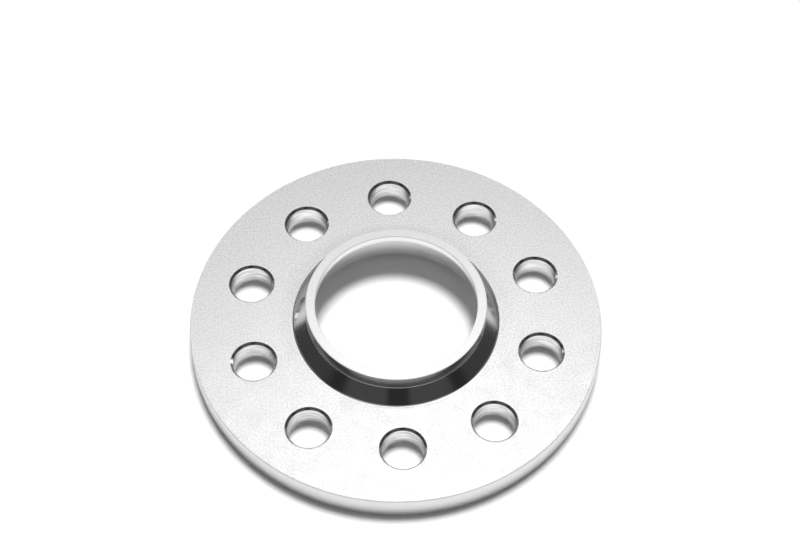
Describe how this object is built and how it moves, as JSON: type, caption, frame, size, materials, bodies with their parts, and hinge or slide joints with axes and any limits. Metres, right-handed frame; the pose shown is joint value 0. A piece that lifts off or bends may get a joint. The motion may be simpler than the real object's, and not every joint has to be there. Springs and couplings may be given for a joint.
{
  "type": "wheel spacer",
  "caption": "Round aluminium wheel spacer: a flat drilled flange with a raised conical collar and lip that centres the wheel, bored to sit on the hub.",
  "frame": {"origin": "centre of the hub face, the flat underside that lies against the hub", "axes": "+Z along the bore axis, towards the wheel; +Y through a hole of the larger bolt circle"},
  "size_m": [0.149, 0.149, 0.02],
  "materials": {
    "turned_aluminium": "satin faces with a fine matt grain, bright turned collar and bores"
  },
  "bodies": {
    "root": {"spacer": "turned_aluminium"}
  },
  "joints": []
}
